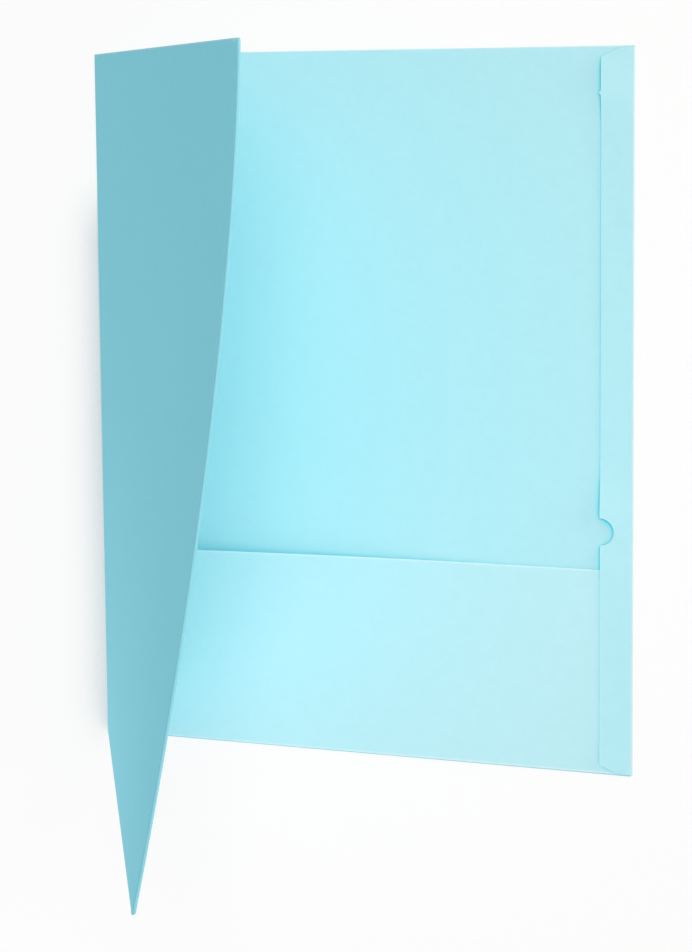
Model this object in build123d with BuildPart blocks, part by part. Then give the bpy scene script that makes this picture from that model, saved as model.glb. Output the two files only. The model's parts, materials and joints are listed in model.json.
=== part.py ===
# Two pocket folder: one sheet of card, die cut, scored, folded and glued.
# It lies open on its back cover, with the front cover standing up from the spine.
# Origin: centre of the face it lies on. +X runs from spine to outer edge, +Y to the top edge, +Z up.
# Millimetres and degrees.

import os
from math import atan2, cos, radians, sin, tan

from build123d import *

os.makedirs("parts", exist_ok=True)

# Covers
WIDTH = 235.0               # spine crease to outer fold
HEIGHT = 298.5              # bottom fold to top edge
CARD = 0.4                  # thickness of the card

# Spine creases, bent up from flat
BACK_CREASE_BEND = 81.9     # between back cover and spine
FRONT_CREASE_BEND = 45.0    # between spine and the top of the front cover
CREASE_GAP = 0.05           # between a cover and the rounded edge of the spine
CLOSED_GAP = 0.5            # between the two edge flaps when the folder is shut

# Twist of the front cover, which leans further back towards its bottom edge
TWIST = 10.0                # between top and bottom edge
TWIST_CURVE = 1.53          # above 1, most of the turn is near the bottom edge
TWIST_RUNS = 6              # straight runs from bottom to top

# Pockets
POCKET_HEIGHT = 85.7        # bottom fold to mouth
POCKET_ROOM = 0.1           # between the cover and the pocket that lies on it
POCKET_FOOT = 5.0           # spine crease to the pocket's free end, at the bottom fold
POCKET_CORNER = 16.0        # spine crease to the pocket's free end, at the mouth
POCKET_SIDE_GAP = 0.2       # between the pocket's outer end and the edge fold
BEND_MARGIN = 11.2          # flap's cut edge to where the bend line meets the mouth
BEND_START = 2.0            # bottom fold to the start of the free corner
BEND_GAP = 0.3              # between the pocket and its free corner
BACK_CORNER_BEND = 6.2      # free corner, bent up from the back cover
FRONT_CORNER_BEND = 3.2     # free corner, bent away from the front cover

# Edge flaps
FLAP_WIDTH = 13.8           # outer fold to the flap's cut edge
FLAP_INSET = 1.0            # cover's end to the flap's end
MITRE_WIDTH = 7.2           # cut corner, across the flap
MITRE_HEIGHT = 3.3          # cut corner, along the flap
NOTCH_RADIUS = 5.75         # half-round notch in the cut edge
NOTCH_HEIGHT = 101.6        # bottom fold to the notch's centre
NICK_RADIUS = 0.6           # small bump left by the die
NICK_DROP = 18.6            # top edge to the bump

# Glue between a pocket's outer end and the edge flap
GLUE = 0.05                 # thickness
GLUE_MARGIN = 2.0           # from the glue to the edges of the lap
GLUE_FIT = 0.012            # between the glue and the card on each side
GLUE_RUNS = 16              # flat runs along it, as the cover twists

# Levels above a cover's outer face
pocket_low = CARD + POCKET_ROOM
pocket_high = pocket_low + CARD
flap_low = pocket_high + GLUE
flap_high = flap_low + CARD

pocket_fold = pocket_high / 2
edge_fold = flap_high / 2
spine_width = 2 * (flap_high - CARD / 2) + CLOSED_GAP
cover_start = CARD / 2 + CREASE_GAP
flap_start = WIDTH - FLAP_WIDTH
flap_end = WIDTH - edge_fold
pocket_end = flap_end - POCKET_SIDE_GAP
bend_end = flap_start - BEND_MARGIN


def heading(degrees):
    return Vector(cos(radians(degrees)), 0, sin(radians(degrees)))


# The two halves of the folder. Places on a half are given across it from the spine crease, along it
# from the bottom fold, and by their level above the cover's outer face.
class Half:
    def __init__(self, name, crease, lean, twist, flip, corner_bend):
        self.name = name
        self.crease = crease
        self.top_lean = lean
        self.twist = twist
        self.flip = flip
        self.corner_bend = corner_bend

    # Lean of the cover from the table, in straight runs between the steps of the twist
    def lean(self, along):
        place = min(max(along / HEIGHT, 0), 1) * TWIST_RUNS
        step = min(int(place), TWIST_RUNS - 1)
        below, above = (self.twist * (1 - k / TWIST_RUNS) ** TWIST_CURVE for k in (step, step + 1))
        return self.top_lean + below + (above - below) * (place - step)

    # Heights from one place along the half to another, with the steps of the twist between them
    def heights(self, bottom, top):
        steps = [HEIGHT * k / TWIST_RUNS for k in range(TWIST_RUNS + 1)] if self.twist else []
        return [bottom] + [along for along in steps if bottom + 1 < along < top - 1] + [top]

    # Upright section of the half: X runs across it, Y is the level
    def section(self, along):
        across, inward = heading(self.lean(along)), heading(self.lean(along) - 90) * -self.flip
        foot = self.crease + Vector(0, along - HEIGHT / 2, 0) - inward * (CARD / 2)
        return Plane(foot, x_dir=across, z_dir=(0, -self.flip, 0))

    def point(self, across, along, level):
        return self.section(along).from_local_coords(Vector(across, level, 0))

    # The outer face of the cover at a height: X runs across it, Z points into the folder
    def face(self, along):
        section = self.section(along)
        return Plane(section.origin, x_dir=section.x_dir, z_dir=section.y_dir)


back_crease = Vector(-WIDTH / 2, 0, CARD / 2)
spine_heading = 180 - BACK_CREASE_BEND
front_crease = back_crease + heading(spine_heading) * spine_width
back = Half("back", back_crease, 0, 0, 1, BACK_CORNER_BEND)
front = Half("front", front_crease, spine_heading - FRONT_CREASE_BEND, TWIST, -1, FRONT_CORNER_BEND)


# Panel: card between two levels, through rows of (along, from, to, rise at from, rise at to)
def make_panel(half, rows, low, high):
    with BuildPart() as panel:
        for along, start, end, lift, drop in rows:
            with BuildSketch(half.section(along)):
                with BuildLine():
                    Polyline(
                        (start, low + lift),
                        (end, low + drop),
                        (end, high + drop),
                        (start, high + lift),
                        close=True,
                    )
                make_face()
        loft(ruled=True)
    return panel


# Cover: the plain panel, from the spine crease to the two folds
def make_cover(half):
    rows = [(along, cover_start, flap_end, 0, 0) for along in half.heights(pocket_fold, HEIGHT)]
    return make_panel(half, rows, 0, CARD)


# Heights of the edge flap: its two ends, its two mitres and the steps of the twist between them
def flap_heights(half):
    foot, head = FLAP_INSET, HEIGHT - FLAP_INSET
    return [foot] + half.heights(foot + MITRE_HEIGHT, head - MITRE_HEIGHT) + [head]


# Edge fold: the round turn of the card along the outer edge
def make_edge_fold(half):
    with BuildPart() as fold:
        for along in flap_heights(half):
            with BuildSketch(half.section(along)):
                with Locations((flap_end, edge_fold)):
                    Circle(edge_fold)
                    Circle(edge_fold - CARD, mode=Mode.SUBTRACT)
                    Rectangle(
                        2 * edge_fold,
                        2 * edge_fold,
                        align=(Align.MAX, Align.CENTER),
                        mode=Mode.SUBTRACT,
                    )
        loft(ruled=True)
    return fold


# Edge flap: the strip folded in along the outer edge, with cut corners, notch and bump
def make_edge_flap(half):
    foot, *heights, head = flap_heights(half)
    rows = [(foot, flap_start + MITRE_WIDTH, flap_end, 0, 0)]
    rows += [(along, flap_start, flap_end, 0, 0) for along in heights]
    rows += [(head, flap_start + MITRE_WIDTH, flap_end, 0, 0)]
    with BuildPart() as flap:
        add(make_panel(half, rows, flap_low, flap_high).part)
        with BuildSketch(half.face(HEIGHT - NICK_DROP).offset(flap_low)):
            with Locations((flap_start, 0)):
                Circle(NICK_RADIUS)
        extrude(amount=CARD)
        with BuildSketch(half.face(NOTCH_HEIGHT).offset(flap_low + CARD / 2)):
            with Locations((flap_start, 0)):
                Circle(NOTCH_RADIUS)
        extrude(amount=NOTCH_RADIUS, both=True, mode=Mode.SUBTRACT)
    return flap


# Pocket fold: the round turn of the card along the bottom edge
def make_pocket_fold(half):
    face = half.face(pocket_fold)
    start = face.from_local_coords(Vector(POCKET_FOOT, 0, 0))
    with BuildPart() as fold:
        with BuildSketch(Plane(start, x_dir=face.y_dir, z_dir=face.x_dir)):
            with Locations((0, pocket_fold)):
                Circle(pocket_fold)
                Circle(pocket_fold - CARD, mode=Mode.SUBTRACT)
            with Locations((half.flip * pocket_fold, pocket_fold)):
                Rectangle(2 * pocket_fold, 2 * pocket_fold, mode=Mode.SUBTRACT)
        extrude(amount=pocket_end - POCKET_FOOT)
    return fold


# Where the pocket's bend line and its free end lie, at a height
def bend_place(along):
    return POCKET_FOOT + (bend_end - POCKET_FOOT) * (along - pocket_fold) / (POCKET_HEIGHT - pocket_fold)


def free_place(along):
    return POCKET_FOOT + (POCKET_CORNER - POCKET_FOOT) * (along - pocket_fold) / (POCKET_HEIGHT - pocket_fold)


# The bend line of a pocket, on its upper face: from the bottom fold to the mouth
def bend_line(half):
    foot = half.point(POCKET_FOOT, pocket_fold, pocket_high)
    head = half.point(bend_end, POCKET_HEIGHT, pocket_high)
    return foot, head


# The upright cut through the card along the bend line: Z points to the free corner
def bend_cut(half):
    foot, head = bend_line(half)
    inward = half.face(POCKET_HEIGHT / 2).z_dir
    return Plane(foot, x_dir=head - foot, z_dir=inward.cross(head - foot) * half.flip)


# Pocket: held by the bottom fold and by the glue under the edge flap, up to the bend line
def make_pocket(half):
    rows = [(along, POCKET_FOOT, pocket_end, 0, 0) for along in half.heights(pocket_fold, POCKET_HEIGHT)]
    with BuildPart() as pocket:
        add(make_panel(half, rows, pocket_low, pocket_high).part)
        split(bisect_by=bend_cut(half), keep=Keep.BOTTOM)
    return pocket


# Pocket corner: free at the spine, it bends away from the cover along the bend line
def make_pocket_corner(half):
    slant = atan2(POCKET_HEIGHT - pocket_fold, bend_end - POCKET_FOOT)
    slope = sin(slant) * tan(radians(half.corner_bend))
    rows = []
    for along in half.heights(pocket_fold + BEND_START, POCKET_HEIGHT):
        lift, drop = (slope * (bend_place(along) - across) for across in (free_place(along), bend_end))
        rows.append((along, free_place(along), bend_end, lift, drop))
    with BuildPart() as corner:
        add(make_panel(half, rows, pocket_low, pocket_high).part)
        split(bisect_by=bend_cut(half).offset(BEND_GAP), keep=Keep.TOP)
    return corner


# Pocket glue: the thin line of glue under the edge flap, in flat pieces with three corners
def make_pocket_glue(half):
    foot, head = FLAP_INSET + MITRE_HEIGHT + GLUE_MARGIN, POCKET_HEIGHT - GLUE_MARGIN
    heights = [foot + (head - foot) * k / GLUE_RUNS for k in range(GLUE_RUNS + 1)]
    sides = (flap_start + GLUE_MARGIN, pocket_end - GLUE_MARGIN)
    left, right = ([half.point(side, along, pocket_high + GLUE_FIT) for along in heights] for side in sides)
    inward = half.face(POCKET_HEIGHT / 2).z_dir
    with BuildPart() as glue:
        for k in range(GLUE_RUNS):
            for corners in ((left[k], right[k], right[k + 1]), (left[k], right[k + 1], left[k + 1])):
                extrude(Face(Wire.make_polygon(corners)), amount=GLUE - 2 * GLUE_FIT, dir=inward)
    return glue


# Spine: the narrow strip between the two creases, rounded where it turns into the covers
with BuildPart() as spine:
    with BuildSketch(Plane(back_crease, x_dir=heading(spine_heading), z_dir=(0, 1, 0))):
        with Locations((spine_width / 2, 0)):
            SlotCenterToCenter(spine_width, CARD)
    extrude(amount=HEIGHT / 2, both=True)
spine.part.label = "spine"
export_step(spine.part, "parts/spine.step")

PIECES = {
    "cover": make_cover,
    "edge_fold": make_edge_fold,
    "edge_flap": make_edge_flap,
    "pocket_fold": make_pocket_fold,
    "pocket": make_pocket,
    "pocket_corner": make_pocket_corner,
    "pocket_glue": make_pocket_glue,
}
for half in (back, front):
    for piece, make in PIECES.items():
        made = make(half)
        made.part.label = half.name + "_" + piece
        export_step(made.part, "parts/" + made.part.label + ".step")
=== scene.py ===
import json
from math import cos, pi, radians, sin

import bpy
import numpy as np
from mathutils import Euler, Matrix, Vector
from mathutils.geometry import delaunay_2d_cdt


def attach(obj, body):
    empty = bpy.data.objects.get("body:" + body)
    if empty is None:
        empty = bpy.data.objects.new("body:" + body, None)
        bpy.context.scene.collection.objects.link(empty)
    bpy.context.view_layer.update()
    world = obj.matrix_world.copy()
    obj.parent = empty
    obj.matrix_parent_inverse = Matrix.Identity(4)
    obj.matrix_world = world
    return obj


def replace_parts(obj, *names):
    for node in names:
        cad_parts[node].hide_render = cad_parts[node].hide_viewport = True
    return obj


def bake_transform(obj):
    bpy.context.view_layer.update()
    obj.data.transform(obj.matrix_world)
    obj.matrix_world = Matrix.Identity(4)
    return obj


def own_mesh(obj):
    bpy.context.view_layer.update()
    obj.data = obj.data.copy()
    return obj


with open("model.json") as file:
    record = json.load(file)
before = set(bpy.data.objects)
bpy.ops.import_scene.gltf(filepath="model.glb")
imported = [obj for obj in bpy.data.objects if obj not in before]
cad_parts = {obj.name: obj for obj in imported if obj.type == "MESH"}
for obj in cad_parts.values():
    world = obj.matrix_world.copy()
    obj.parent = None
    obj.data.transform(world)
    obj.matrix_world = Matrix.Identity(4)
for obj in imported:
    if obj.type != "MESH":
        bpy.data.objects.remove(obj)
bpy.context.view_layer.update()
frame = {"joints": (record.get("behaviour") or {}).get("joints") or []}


# Back cover
# The folder is one sheet of dyed card, die cut, scored and folded. The back cover is its large
# plain panel, which lies on the table from the spine crease at the left to the fold at the right.

MM = 0.001
WIDTH = 235.0                    # spine crease to outer fold
HEIGHT = 298.5                   # bottom fold to top edge
CARD = 0.4                       # thickness of the card
EDGE_FOLD = 0.675                # outer radius of the fold along the outer edge
POCKET_FOLD = 0.45               # outer radius of the fold along the bottom
INSIDE_BLUE = (182, 236, 245)    # pale blue of the faces inside the folder
# Painted shade: the outside faces are the same card as the inside, given a deeper blue because they
# face away from the light.
SHADED_OUTSIDE_BLUE = (143, 229, 244)   # the faces outside, a little deeper
EDGE_BLUE = (226, 247, 250)      # cut edge, where the paler core shows
# Painted shade: in narrow gaps the card is given a deeper teal, standing in for shade and for light
# bounced off other blue card.
NOOK_SHADE_TEAL = (80, 230, 244)       # in narrow gaps, where light only comes off other blue card
# Painted shade: under an overhanging panel the card is given a deeper blue, standing in for the light
# it loses there.
SHELTER_SHADE_BLUE = (150, 233, 247)   # under an overhanging panel, for the same reason
NOOK_REACH, SHELTER_REACH = 0.012, 0.2   # how near the other card is, in metres
LAMP_SIDE = (0.5, 0.53, 0.0)     # towards the light, along the table
CLOUDS, FIBRES, TOOTH = 210.0, 950.0, 4200.0   # fineness of the card's grain, per metre
TOOTH_DEPTH = 0.00005


# Screen levels from 0 to 255 as amounts of light
def linear(colour):
    parts = [c / 255 for c in colour]
    light = [c / 12.92 if c < 0.04045 else ((c + 0.055) / 1.055) ** 2.4 for c in parts]
    return tuple(light) + (1.0,)


# One value on its way through a material. Sums, differences and products add Math nodes.
class Thread:
    def __init__(self, tree, socket=None):
        self.tree = tree
        self.socket = socket

    def feed(self, socket, value):
        if isinstance(value, Thread):
            self.tree.links.new(value.socket, socket)
        else:
            socket.default_value = value

    def node(self, kind, settings, inputs, out=0):
        made = self.tree.nodes.new(kind)
        for key, value in settings.items():
            setattr(made, key, value)
        for key, value in inputs.items():
            self.feed(made.inputs[key], value)
        return Thread(self.tree, made.outputs[out])

    def maths(self, operation, a, b):
        return self.node("ShaderNodeMath", {"operation": operation}, {0: a, 1: b})

    def __add__(self, other):
        return self.maths("ADD", self, other)

    def __sub__(self, other):
        return self.maths("SUBTRACT", self, other)

    def __rsub__(self, other):
        return self.maths("SUBTRACT", other, self)

    def __mul__(self, other):
        return self.maths("MULTIPLY", self, other)

    __radd__ = __add__
    __rmul__ = __mul__

    def ramp(self, start, end):
        return self.node("ShaderNodeMapRange", {"clamp": True, "interpolation_type": "SMOOTHSTEP"},
                         {0: self, 1: start, 2: end, 3: 0.0, 4: 1.0})

    def mix(self, a, b):
        return self.node("ShaderNodeMix", {"data_type": "RGBA"}, {0: self, 6: a, 7: b}, out=2)


# Matte card: clouds where the pulp lay thick or thin, short paler fibres, a fine tooth to the
# touch, and a paler line along its edges, partly rubbed wear and partly painted highlight. Close
# to other card it gets painted shade, a deeper blue.
def card_finish(name, colour, wear_and_highlight=0.5, wear_and_highlight_width=0.9, grit=1.0, shelter_shade=0.3, nook_shade=1.0):
    material = bpy.data.materials.new(name)
    material.use_nodes = True
    tree = material.node_tree
    shader = tree.nodes["Principled BSDF"]
    start = Thread(tree)
    spot = start.node("ShaderNodeTexCoord", {}, {}, out="Object")

    def noise(scale, detail, distortion=0.0):
        return start.node("ShaderNodeTexNoise", {}, {
            "Vector": spot, "Scale": scale, "Detail": detail,
            "Roughness": 0.6, "Distortion": distortion})

    def open_to(reach, normal):
        return start.node("ShaderNodeAmbientOcclusion", {"samples": 8},
                          {"Distance": reach, "Normal": normal}, out="AO")

    clouds = noise(CLOUDS, 3.0)
    fibres = noise(FIBRES, 2.0, 2.4).ramp(0.42, 0.72)
    tooth = noise(TOOTH, 2.0)
    edge = start.node("ShaderNodeAttribute", {"attribute_name": "edge_mm"}, {}, out="Fac")
    # A paler line along the worn edges: partly rubbed wear, partly painted highlight where the cut
    # edge catches the light.
    worn_and_highlit = (1 - edge.ramp(0.05, wear_and_highlight_width)) * (0.35 + 0.9 * clouds) * wear_and_highlight
    plain = linear(colour)
    deep = tuple(c * 0.98 for c in plain[:3]) + (1.0,)
    pale = tuple(1 - (1 - c) * 0.82 for c in plain[:3]) + (1.0,)
    blue = clouds.ramp(0.25, 0.75).mix(deep, plain)
    blue = (fibres * 0.16 * grit).mix(blue, pale)
    blue = worn_and_highlit.mix(blue, linear(EDGE_BLUE))
    facing = start.node("ShaderNodeNewGeometry", {}, {}, out="Normal")
    # Painted shade: under overhanging card the blue is deepened.
    if shelter_shade:
        covered_shade = 1 - open_to(SHELTER_REACH, facing).ramp(0.3, 1.0)
        blue = (shelter_shade * covered_shade).mix(blue, linear(SHELTER_SHADE_BLUE))
    # Painted shade: in narrow gaps the card turns a deeper teal, most where other card stands between
    # it and the lamp.
    if nook_shade:
        lit_side = start.node("ShaderNodeVectorMath", {"operation": "ADD"}, {0: facing, 1: LAMP_SIDE})
        narrow_shade = 1 - open_to(NOOK_REACH, lit_side).ramp(0.42, 0.76)
        blue = (nook_shade * narrow_shade).mix(blue, linear(NOOK_SHADE_TEAL))
    start.feed(shader.inputs["Base Color"], blue)
    start.feed(shader.inputs["Roughness"], 0.62 + 0.16 * fibres + 0.1 * tooth)
    height = 0.55 * fibres + 0.45 * tooth
    start.feed(shader.inputs["Normal"], start.node("ShaderNodeBump", {}, {
        "Strength": 0.22 * grit, "Distance": TOOTH_DEPTH, "Height": height}))
    shader.inputs["IOR"].default_value = 1.46
    shader.inputs["Specular IOR Level"].default_value = 0.32
    return material


inside_card = card_finish("inside_card", INSIDE_BLUE)
# The outside faces carry painted shade in their deeper blue.
shaded_outside_card = card_finish("shaded_outside_card", SHADED_OUTSIDE_BLUE, shelter_shade=0.0)
cut_edge = card_finish("cut_edge", EDGE_BLUE, wear_and_highlight=0.0, grit=1.6)


# A half of the folder, with points given in mm from the spine crease, up from the bottom fold,
# and inwards from the outer face. The back half lies flat.
class Half:
    body = "back"
    flip = 1                     # -1 where the faces run the other way round
    corner_bend = 6.2            # degrees that the pocket's free corner stands up

    def place(self, across, up, level):
        return Vector((across - WIDTH / 2, up - HEIGHT / 2, level)) * MM

    def carry(self, piece, level):
        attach(piece, self.body)

    def press(self, piece, level):
        self.carry(piece, level)
        self.place(0.0, 0.0, level)
        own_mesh(piece)


back = Half()


# edge is each point's distance from the nearest worn edge, in mm.
def wrap(name, points, faces, materials, edge):
    mesh = bpy.data.meshes.new(name)
    mesh.from_pydata([tuple(p) for p in points], [], faces)
    mesh.polygons.foreach_set("use_smooth", [True] * len(mesh.polygons))
    mesh.attributes.new("edge_mm", "FLOAT", "POINT").data.foreach_set("value", edge)
    for material in materials:
        mesh.materials.append(material)
    piece = bpy.data.objects.new(name, mesh)
    bpy.context.collection.objects.link(piece)
    return piece


# A cut piece of card: its outline is filled with small triangles, so that it can follow a curved
# surface, then it gets the card's thickness and slightly rounded cut edges. The side that is
# joined to the next piece is not worn. The materials are for the inner face, the cut edge and,
# where there is a third, the outer face.
def cut_sheet(name, outline, surface, half, materials,
              step=6.0, thick=CARD, soften=0.05, joined=None):
    rim, worn = [], []
    for side, (a, b) in enumerate(zip(outline, outline[1:] + outline[:1])):
        a, b = Vector(a), Vector(b)
        count = max(1, round((b - a).length / step))
        rim += [a.lerp(b, i / count) for i in range(count)]
        worn += [side != joined] * count
    starts = np.array([tuple(point) for point in rim])
    ends = np.roll(starts, -1, axis=0)

    def to_rim(spot, sides=slice(None)):
        from_start, run = spot - starts[sides], (ends - starts)[sides]
        along = np.clip((from_start * run).sum(1) / (run ** 2).sum(1), 0, 1)
        return np.hypot(*(from_start - run * along[:, None]).T).min()

    def within(x, y):
        crosses = (starts[:, 1] > y) != (ends[:, 1] > y)
        rise = np.where(crosses, ends[:, 1] - starts[:, 1], 1.0)
        meets = starts[:, 0] + (y - starts[:, 1]) * (ends[:, 0] - starts[:, 0]) / rise
        return (crosses & (x < meets)).sum() % 2

    clear_of_rim = 0.4 * step
    spots = list(rim)
    for x in np.arange(starts[:, 0].min() + step / 2, starts[:, 0].max(), step):
        for y in np.arange(starts[:, 1].min() + step / 2, starts[:, 1].max(), step):
            if within(x, y) and to_rim(np.array((x, y))) > clear_of_rim:
                spots.append(Vector((x, y)))
    inside_only, same_spot = 1, 1e-7
    flat, _, faces, *_ = delaunay_2d_cdt(spots, [], [list(range(len(rim)))], inside_only, same_spot)
    turn = slice(None, None, half.flip)
    piece = wrap(name, [surface(*f) for f in flat], [list(f)[turn] for f in faces], materials,
                 [to_rim(np.array(tuple(f)), np.array(worn)) for f in flat])
    card = piece.modifiers.new("card", "SOLIDIFY")
    card.thickness = thick * MM
    card.offset = 0.0
    card.material_offset_rim = 1
    card.material_offset = len(materials) - 1 if len(materials) > 2 else 0
    soft = piece.modifiers.new("soft_edge", "BEVEL")
    soft.width = soften * MM
    soft.segments = 2
    soft.limit_method = "ANGLE"
    soft.angle_limit = radians(50)
    soft.harden_normals = True
    return piece


def rectangle(left, right, low, high):
    return [(left, low), (right, low), (right, high), (left, high)]


def cover(half, name):
    outline = rectangle(0.0, WIDTH - EDGE_FOLD, POCKET_FOLD, HEIGHT)
    piece = cut_sheet(name, outline, lambda u, v: half.place(u, v, CARD / 2), half,
                      [inside_card, cut_edge, shaded_outside_card])
    half.carry(piece, CARD / 2)
    return piece


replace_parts(cover(back, "back_cover_panel"), "back_cover")


# Back edge fold
# Along the outer edge the card turns over on itself in a tight half round. The bend stretches the
# outer fibres, so the dye looks a touch paler along its crest.

FOLD_INSET = 0.3                 # cover's end to the fold's end, on the side of the strip
TURN_STEPS, LENGTH_STEPS = 12, 60
SHARP = radians(40)              # a stronger bend than this shows as an edge
UNWORN = 9.0                     # mm, too far from a worn edge to matter
CREASE_BLUE = (196, 228, 235)
edge_fold_card = card_finish("edge_fold_card", CREASE_BLUE,
                             wear_and_highlight=0.0, grit=1.4, shelter_shade=0.0, nook_shade=0.0)


# The faces of a section of so many points, drawn out in steps and closed with a cap at each end
def drawn_out(count, steps, cap):
    faces = []
    for i in range(steps):
        for k in range(count):
            near, far = i * count + k, i * count + (k + 1) % count
            faces.append((near, near + count, far + count, far))
    return faces + cap + [tuple(steps * count + k for k in reversed(face)) for face in cap]


# The half round is cut back at its ends only on the side of the folded-over strip.
def half_round(name, radius, start, end, cut_back, spot, card):
    turns = [i * pi / TURN_STEPS for i in range(TURN_STEPS + 1)]
    section = [(a, radius) for a in turns] + [(a, radius - CARD) for a in reversed(turns)]
    points = []
    for i in range(LENGTH_STEPS + 1):
        for a, r in section:
            trim = cut_back * max(0.0, 2 * a / pi - 1)
            run = start + trim + (end - start - 2 * trim) * i / LENGTH_STEPS
            points.append(spot(r * sin(a), -r * cos(a), run))
    faces = drawn_out(len(section), LENGTH_STEPS, [tuple(range(len(section)))])
    piece = wrap(name, points, faces, [card], [UNWORN] * len(points))
    piece.data.polygons.foreach_set("use_smooth", [len(f) == 4 for f in faces])
    piece.data.set_sharp_from_angle(angle=SHARP)
    return piece


piece = half_round("back_edge_fold_turn", EDGE_FOLD, POCKET_FOLD, HEIGHT, FOLD_INSET,
                   lambda out, lift, run: back.place(WIDTH - EDGE_FOLD + out, run, EDGE_FOLD + lift),
                   edge_fold_card)
back.carry(piece, EDGE_FOLD)
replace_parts(piece, "back_edge_fold")


# Back edge flap
# The strip beyond that fold stiffens the edge and holds down the end of the pocket. Its corners
# are cut off, a half-round notch sits just above the pocket, and near the top is a small bump.

FLAP_WIDTH = 13.8
FLAP_INSET = 1.0                 # cover's end to the flap's end
FLAP_LEVEL = 1.15                # middle of the card, where it lies on the pocket
MITRE_WIDTH, MITRE_HEIGHT = 7.2, 3.3
NOTCH_RADIUS, NOTCH_UP, NOTCH_STEPS = 5.75, 101.6, 24
BUMP_RADIUS, BUMP_UP, BUMP_STEPS = 0.8, HEIGHT - 18.6, 8
POCKET_UP = 85.7                 # bottom fold to the pocket's mouth
MOUTH_CURL = 0.25                # rise of the flap's free edge beside the pocket's mouth
NOTCH_CURL = 1.0                 # its rise just above the notch
TOP_SPRING = 0.9                 # its rise near the top
FOOT_LIFT = 0.35                 # its rise at the bottom
SETTLE = 0.47                    # its fall towards the cover, above the notch
FLAP_BLUE = (183, 237, 246)
FLAP_EDGE_BLUE = (206, 242, 248)
flap_card = card_finish("flap_card", FLAP_BLUE, wear_and_highlight=0.25)
flap_edge = card_finish("flap_edge", FLAP_EDGE_BLUE, wear_and_highlight=0.0, grit=1.6)


def flap_outline():
    inner, outer = WIDTH - FLAP_WIDTH, WIDTH - EDGE_FOLD
    foot, head = FLAP_INSET, HEIGHT - FLAP_INSET

    def half_circle(middle, radius, side, steps):
        turns = [pi / 2 - i * pi / steps for i in reversed(range(steps + 1))]
        return [(inner + side * radius * cos(a), middle - radius * sin(a)) for a in turns]

    line = [(outer, POCKET_FOLD + FOLD_INSET), (outer, HEIGHT - FOLD_INSET)]
    line += [(inner + MITRE_WIDTH, head), (inner, head - MITRE_HEIGHT)]
    line += half_circle(BUMP_UP, BUMP_RADIUS, -1, BUMP_STEPS)
    line += half_circle(NOTCH_UP, NOTCH_RADIUS, 1, NOTCH_STEPS)
    line += [(inner, foot + MITRE_HEIGHT), (inner + MITRE_WIDTH, foot)]
    return line


def soft_step(value, start, end):
    t = min(1.0, max(0.0, (value - start) / (end - start)))
    return t * t * (3 - 2 * t)


def hump(value, start, top, fall, end):
    return soft_step(value, start, top) * (1 - soft_step(value, fall, end))


# Over the pocket the flap lies on it. It curls up a little at the pocket's mouth and more above
# the notch, settles towards the cover further up, and springs up near its ends.
def flap_level(across, up):
    reach = (WIDTH - EDGE_FOLD - across) / (FLAP_WIDTH - EDGE_FOLD)
    curl = MOUTH_CURL * hump(up, POCKET_UP - 6, POCKET_UP + 2, POCKET_UP + 6, POCKET_UP + 12)
    curl += NOTCH_CURL * hump(up, NOTCH_UP - 4, NOTCH_UP + 6, NOTCH_UP + 7, NOTCH_UP + 26)
    settle = SETTLE * soft_step(up, NOTCH_UP + 8, NOTCH_UP + 30)
    spring = TOP_SPRING * hump(up, HEIGHT - 36, HEIGHT - 14, HEIGHT - 8, HEIGHT - 3)
    lift = FOOT_LIFT * (1 - soft_step(up, 4, 24))
    return FLAP_LEVEL + reach * (curl + spring + lift - settle)


def edge_flap(half, name):
    piece = cut_sheet(name, flap_outline(), lambda u, v: half.place(u, v, flap_level(u, v)), half,
                      [flap_card, flap_edge], step=2.5)
    half.press(piece, FLAP_LEVEL)
    return piece


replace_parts(edge_flap(back, "back_edge_flap_strip"), "back_edge_flap")


# Back pocket fold
# Along the bottom the card turns up in a fold as tight as the card allows, to make the pocket. It
# was scored first and pressed flat, which leaves a half round hardly thicker than two cards.

POCKET_FOOT = 5.0                # spine crease to the pocket's free end, at the fold
END_GAP = 0.2                    # pocket's other end to the fold along the outer edge
POCKET_END = WIDTH - EDGE_FOLD - END_GAP
FOLD_BLUE = (160, 222, 236)
fold_card = card_finish("fold_card", FOLD_BLUE, wear_and_highlight=0.0, grit=1.4)

piece = half_round("back_pocket_fold_turn", POCKET_FOLD, POCKET_FOOT, POCKET_END, 0.0,
                   lambda out, lift, run: back.place(run, POCKET_FOLD - out, POCKET_FOLD + lift),
                   fold_card)
back.carry(piece, POCKET_FOLD)
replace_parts(piece, "back_pocket_fold")


# Back pocket
# One panel, held along the bottom by the fold and at its outer end by glue under the flap. Its end
# at the spine is free, so that corner curls up along a slanting line from the fold to the mouth.

POCKET_LEVEL = 0.7               # middle of the card
POCKET_FACE = 0.9                # its upper face
POCKET_CORNER = 16.0             # spine crease to the free end, at the mouth
BEND_END = 210.0                 # spine crease to the end of the bend line
POCKET_STEP = 4.0                # size of the triangles
# Painted light: the pocket is the same card as the cover, given a paler blue because it lies in
# brighter light.
LIT_POCKET_BLUE = (192, 239, 247)
# Along its mouth the paler edge line is wide and strong: partly rubbed wear, partly painted highlight
# of the lit cut edge.
pocket_card = card_finish("pocket_card", LIT_POCKET_BLUE, wear_and_highlight=0.9, wear_and_highlight_width=1.3, nook_shade=0.5)

bend_foot = Vector((POCKET_FOOT, POCKET_FOLD))
bend_head = Vector((BEND_END, POCKET_UP))
bend = (bend_head - bend_foot).normalized()
square = Vector((-bend.y, bend.x))
free_corner = Vector((POCKET_CORNER, POCKET_UP))
bend_depth = (free_corner - bend_foot).dot(square)


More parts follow.
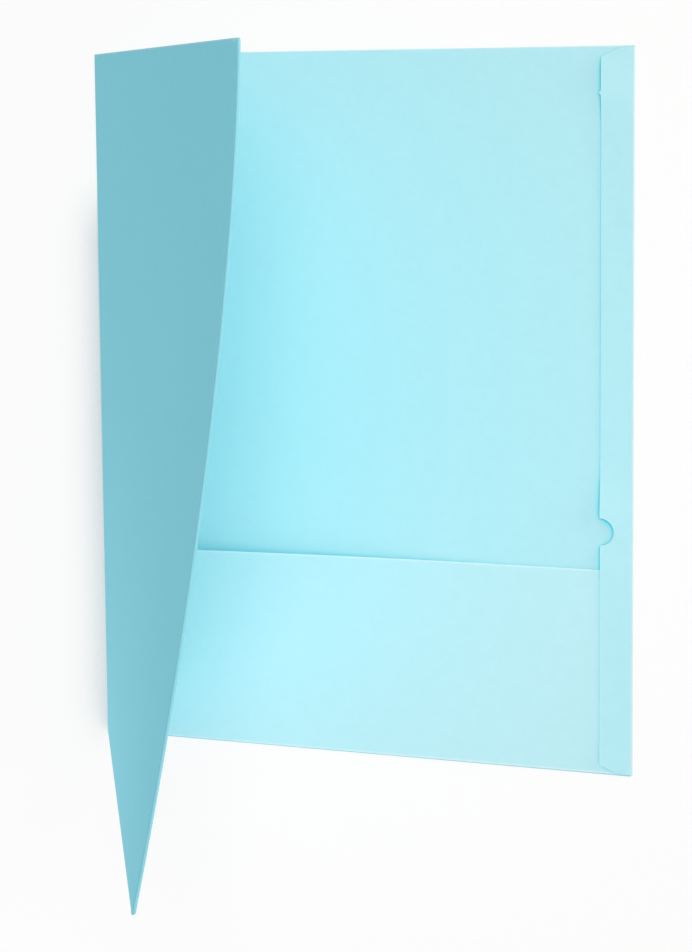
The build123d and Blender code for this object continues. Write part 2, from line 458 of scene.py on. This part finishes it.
def pocket_surface(half):
    def spot(across, up):
        flat = Vector((across, up)) - bend_foot
        away = flat.dot(square)
        angle = radians(half.corner_bend) * soft_step(away, 0.0, bend_depth)
        drop = POCKET_LEVEL - POCKET_FACE
        there = bend_foot + bend * flat.dot(bend) + square * (away * cos(angle) - drop * sin(angle))
        return half.place(there.x, there.y, POCKET_FACE + away * sin(angle) + drop * cos(angle))
    return spot


held = [(POCKET_FOOT, POCKET_FOLD), (POCKET_END, POCKET_FOLD), (POCKET_END, POCKET_UP)]
piece = cut_sheet("back_pocket_panel", held + [(POCKET_CORNER, POCKET_UP)], pocket_surface(back),
                  back, [pocket_card, cut_edge], step=POCKET_STEP)
bend_start = back.place(*bend_foot, POCKET_FACE)
bend_finish = back.place(*(bend_foot + square * bend_depth), POCKET_FACE)
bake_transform(piece)
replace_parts(piece, "back_pocket", "back_pocket_corner")


# Back pocket glue
# A thin line of dried white glue holds the pocket's end to the flap that laps over it. It was run
# on before the flap was pressed down, so its sides wander a little.

GLUE = 0.05                      # thickness
GLUE_MARGIN = 2.0                # to the edges of flap and pocket
GLUE_SWAY = 0.5                  # how far its sides wander
GLUE_WAVE = 1.9                  # turn of the wave from one step to the next
GLUE_STEPS = 24
GLUE_WHITE = (236, 234, 222)
glue = card_finish("dried_glue", GLUE_WHITE, wear_and_highlight=0.0, grit=2.0)


def glue_line(half, name):
    low, high = FLAP_INSET + MITRE_HEIGHT + GLUE_MARGIN, POCKET_UP - GLUE_MARGIN
    left, right = WIDTH - FLAP_WIDTH + GLUE_MARGIN, POCKET_END - GLUE_MARGIN
    sway = [GLUE_SWAY * sin(i * GLUE_WAVE) for i in range(GLUE_STEPS + 1)]
    climb = [low + (high - low) * i / GLUE_STEPS for i in range(GLUE_STEPS + 1)]
    outline = [(right - GLUE_SWAY + s, v) for s, v in zip(sway, climb)]
    outline += [(left + GLUE_SWAY - s, v) for s, v in zip(sway, climb)][::-1]
    level = POCKET_FACE + GLUE / 2
    piece = cut_sheet(name, outline, lambda u, v: half.place(u, v, level), half, [glue, glue],
                      step=3.0, thick=GLUE, soften=0.01)
    half.carry(piece, level)
    return piece


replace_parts(glue_line(back, "back_pocket_glue_line"), "back_pocket_glue")


# Spine
# The narrow strip between the two score lines, which makes room for the sheets. It is rounded where
# the card turns into each cover, and the scores have rubbed a little paler.

SIDE_STEPS, FACE_STEPS, SPINE_STEPS = 8, 6, 100   # round each side, across a face, along the spine
SPINE_BLUE = (172, 230, 241)
spine_card = card_finish("spine_card", SPINE_BLUE, wear_and_highlight=0.8, wear_and_highlight_width=0.7)
joints = {joint["name"]: joint for joint in frame["joints"]}
back_crease, front_crease = [Vector(joints[name]["pos_m"]) for name in ("back_crease", "front_crease")]


def spine_strip(name):
    reach = front_crease - back_crease
    reach.y = 0.0
    length = reach.length / MM
    along = reach.normalized()
    inner = Vector((along.z, 0.0, -along.x))
    half_card = CARD / 2
    turns = [i * pi / SIDE_STEPS for i in range(SIDE_STEPS + 1)]
    section = [(length + half_card * sin(a), half_card * cos(a)) for a in turns]
    section += [(length * (1 - i / FACE_STEPS), -half_card) for i in range(1, FACE_STEPS)]
    other_side = len(section)
    section += [(-half_card * sin(a), -half_card * cos(a)) for a in turns]
    section += [(length * i / FACE_STEPS, half_card) for i in range(1, FACE_STEPS)]
    count = len(section)
    points = []
    for i in range(SPINE_STEPS + 1):
        foot = Vector((back_crease.x, (HEIGHT * i / SPINE_STEPS - HEIGHT / 2) * MM, back_crease.z))
        points += [foot + (along * a + inner * b) * MM for a, b in section]
    cap = [tuple(range(first, first + len(turns))) for first in (0, other_side)]
    cap += [(SIDE_STEPS + i, SIDE_STEPS + 1 + i, count - 1 - i, (count - i) % count)
            for i in range(FACE_STEPS)]
    edge = [max(0.0, min(a, length - a)) for a, b in section] * (SPINE_STEPS + 1)
    piece = wrap(name, points, drawn_out(count, SPINE_STEPS, cap), [spine_card], edge)
    piece.data.set_sharp_from_angle(angle=SHARP)
    return piece


piece = spine_strip("spine_strip")
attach(piece, "spine")
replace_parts(piece, "spine")


# Front cover
# The other large panel, the mirror image of the back. It stands up from the spine and leans over
# the back cover, and the card twists a little: it stands steeper at the bottom than at the top.

LEAN_BOTTOM, LEAN_TOP = 63.1, 53.1
TWIST_CURVE = 1.53               # how the twist gathers towards the bottom


class FrontHalf(Half):
    body = "front"
    flip = -1
    corner_bend = 3.2

    def inwards(self, lean=radians(LEAN_TOP)):
        return Vector((sin(lean), 0.0, -cos(lean)))

    def leaning(self, lean, across, up, level):
        along = Vector((cos(lean), 0.0, sin(lean)))
        spot = along * across + self.inwards(lean) * (level - CARD / 2)
        spot += Vector((0.0, up - HEIGHT / 2, 0.0))
        return Vector((front_crease.x, 0.0, front_crease.z)) + spot * MM

    def place(self, across, up, level):
        share = min(1.0, max(0.0, 1 - up / HEIGHT)) ** TWIST_CURVE
        return self.leaning(radians(LEAN_TOP + (LEAN_BOTTOM - LEAN_TOP) * share), across, up, level)

    def flat(self, across, up, level):
        return self.leaning(radians(LEAN_TOP), across, up, level)

    def carry(self, piece, level):
        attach(piece, self.body)
        self.flat(0.0, HEIGHT / 2, level)
        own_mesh(piece)

    press = carry


front = FrontHalf()
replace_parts(cover(front, "front_cover_panel"), "front_cover")


# Front edge fold and flap
# As on the back cover: the card turns over along the outer edge, and the strip beyond lies inside.
# The turn follows the twist of the cover, so it is made as a rounded bar of card along the edge.

BAR_BACK = 1.5                   # how far the fold reaches in between cover and flap
BAR_FLAT = 0.02                  # flat that is left between its rounded edges
BAR_ROUND = 6                    # steps round each edge
# Painted shade: both halves of the turn are given a deeper blue than the card's own, so that the edge
# looks dark.
CREST_SHADE_BLUE = (130, 206, 222)     # the half of the turn that faces the inside, in full light
SHADE_BLUE = (128, 208, 224)     # the half that faces the outside
crest_shade_card, front_fold_shade_card = [
    card_finish(name, colour, wear_and_highlight=0.0, grit=1.4, shelter_shade=0.0, nook_shade=0.0)
    for name, colour in (("crest_shade_card", CREST_SHADE_BLUE), ("front_fold_shade_card", SHADE_BLUE))]


def fold_bar(name, outline, radius):
    piece = cut_sheet(name, outline, lambda u, v: front.place(u, v, radius), front,
                      [crest_shade_card, crest_shade_card, front_fold_shade_card],
                      thick=2 * radius - BAR_FLAT, soften=radius - BAR_FLAT)
    piece.modifiers["soft_edge"].segments = BAR_ROUND
    front.carry(piece, radius)
    return piece


piece = fold_bar("front_edge_fold_turn",
                 rectangle(WIDTH - BAR_BACK, WIDTH, POCKET_FOLD, HEIGHT), EDGE_FOLD)
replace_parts(piece, "front_edge_fold")
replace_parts(edge_flap(front, "front_edge_flap_strip"), "front_edge_flap")


# Front pocket
# As on the back cover, with a smaller gape. The held part and the free corner are two pieces here,
# which meet along the bend line.

BAR_UP = 1.0                     # how far the fold reaches up between cover and pocket
SEAM_SOFT = 0.02                 # rounding of the edges, finer than on the back pocket
SLIDE_GAP = 0.15                 # between the two when pressed flat

piece = fold_bar("front_pocket_fold_turn",
                 rectangle(POCKET_FOOT, POCKET_END, 0.0, BAR_UP), POCKET_FOLD)
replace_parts(piece, "front_pocket_fold")


def front_sheet(name, outline, joined):
    return cut_sheet(name, outline, pocket_surface(front), front, [pocket_card, pocket_card],
                     step=POCKET_STEP, soften=SEAM_SOFT, joined=joined)


piece = front_sheet("front_pocket_panel", held + [tuple(bend_head)], joined=3)
front.carry(piece, POCKET_LEVEL)
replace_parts(piece, "front_pocket")

piece = front_sheet("front_pocket_corner_panel",
                    [tuple(bend_foot), tuple(bend_head), tuple(free_corner)], joined=0)
hinge = joints["front_pocket_bend"]
pivot = Vector(hinge["pos_m"])
tilt = Matrix.Rotation(radians(front.corner_bend), 3, Vector(hinge["axis"]))
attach(piece, "front_pocket_corner")
pivot + tilt @ (front.flat(*bend_foot, POCKET_LEVEL + CARD + SLIDE_GAP) - pivot)
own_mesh(piece)
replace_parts(piece, "front_pocket_corner")

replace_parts(glue_line(front, "front_pocket_glue_line"), "front_pocket_glue")


# Studio
# A plain white table under a soft cool sky. A large soft lamp hangs at the upper right, a smaller
# one stands low at the right and a weak one at the lower left.

TABLE_WHITE = (250, 250, 250)
TABLE_SIZE, TABLE_DROP = 12.0, 0.00005
TABLE_LIFT = 0.8                 # share of plain white that the camera sees
PLAIN_WHITE = (1.0, 1.0, 1.0, 1.0)
SKY = (0.28, 0.404, 0.434, 1.0)
SHADOW_BLUE = (122, 164, 174)    # closest to the spine
SHADOW_REACH = 0.03
SHADOW_SIDE = (0.55, 0.6, 0.58)  # up and towards the light
SHADOW_ACROSS = (-0.117, -0.1)   # where the shadow ends, going from the spine to the right
SHADOW_TOP = (0.065, 0.1)        # where it ends, going up along the spine
SHADOW_DEEPEN = (-0.12, 0.02)    # where it grows from SHADOW_LOW to its full depth, going up
SHADOW_LOW = 0.7

bpy.ops.mesh.primitive_plane_add(size=TABLE_SIZE, location=(0.0, 0.0, -TABLE_DROP))
table = bpy.context.object
table.name = "table"
white = bpy.data.materials.new("table_white")
white.use_nodes = True
start = Thread(white.node_tree)
shader = white.node_tree.nodes["Principled BSDF"]
shader.inputs["Base Color"].default_value = linear(TABLE_WHITE)
shader.inputs["Roughness"].default_value = 0.9
shader.inputs["Specular IOR Level"].default_value = 0.1


# 1 for what is looked at directly, in a gloss or through glass, and 0 for light on its way
def looked_at(start):
    camera_ray, glossy_ray, glass_ray = [
        start.node("ShaderNodeLightPath", {}, {}, out=ray)
        for ray in ("Is Camera Ray", "Is Glossy Ray", "Is Transmission Ray")]
    return camera_ray + glossy_ray + glass_ray


# The shadow lies along the spine, and light from the upper right gets past its top end.
open_sky = start.node("ShaderNodeAmbientOcclusion", {"samples": 16},
                      {"Distance": SHADOW_REACH, "Normal": SHADOW_SIDE}, out="AO")
spot = start.node("ShaderNodeTexCoord", {}, {}, out="Object")
across, along = [start.node("ShaderNodeSeparateXYZ", {}, {0: spot}, out=axis) for axis in ("X", "Y")]
beside = (1 - across.ramp(*SHADOW_ACROSS)) * (1 - along.ramp(*SHADOW_TOP))
behind = beside * (SHADOW_LOW + (1 - SHADOW_LOW) * along.ramp(*SHADOW_DEEPEN))
shade = ((1 - open_sky.ramp(0.55, 0.98)) * behind).mix(PLAIN_WHITE, linear(SHADOW_BLUE))
lift = start.node("ShaderNodeEmission", {}, {"Color": shade, "Strength": 1.0})
mixed = start.node("ShaderNodeMixShader", {}, {
    0: looked_at(start) * TABLE_LIFT, 1: Thread(white.node_tree, shader.outputs[0]), 2: lift})
start.feed(white.node_tree.nodes["Material Output"].inputs["Surface"], mixed)
table.data.materials.append(white)

world = bpy.data.worlds.new("studio")
bpy.context.scene.world = world
world.use_nodes = True
start = Thread(world.node_tree)
sky = world.node_tree.nodes["Background"]
sky.inputs["Strength"].default_value = 1.0
start.feed(sky.inputs["Color"], looked_at(start).mix(SKY, PLAIN_WHITE))


def soft_lamp(name, place, aim, size, power, colour):
    lamp = bpy.data.lights.new(name, "AREA")
    lamp.shape = "DISK"
    lamp.size = size
    lamp.energy = power
    lamp.color = colour
    stand = bpy.data.objects.new(name, lamp)
    stand.location = place
    stand.rotation_euler = (Vector(aim) - Vector(place)).to_track_quat("-Z", "Y").to_euler()
    bpy.context.collection.objects.link(stand)


soft_lamp("window", place=(0.66, 0.46, 1.51), aim=(0.0, 0.0, 0.0),
          size=0.8, power=19.0, colour=(1.0, 0.72, 0.65))
soft_lamp("fill", place=(-0.36, -0.56, 0.24), aim=(-0.06, -0.14, 0.1),
          size=0.4, power=1.1, colour=(1.0, 0.9, 0.93))
soft_lamp("low_window", place=(1.5, 0.5, 0.12), aim=(0.0, 0.0, 0.1),
          size=0.6, power=11.8, colour=(0.97, 1.0, 0.92))

eye = bpy.data.cameras.new("camera")
eye.sensor_width = 36.0
eye.lens = 86.548
eye.shift_y = -0.1397
eye.clip_start, eye.clip_end = 0.01, 50.0
camera = bpy.data.objects.new("camera", eye)
camera.location = (0.30802, 0.12604, 0.90588)
camera.rotation_euler = Euler([radians(a) for a in (-6.078, 19.05, -0.543)], "XYZ")
bpy.context.collection.objects.link(camera)
bpy.context.scene.camera = camera
bpy.context.scene.view_settings.view_transform = "Standard"
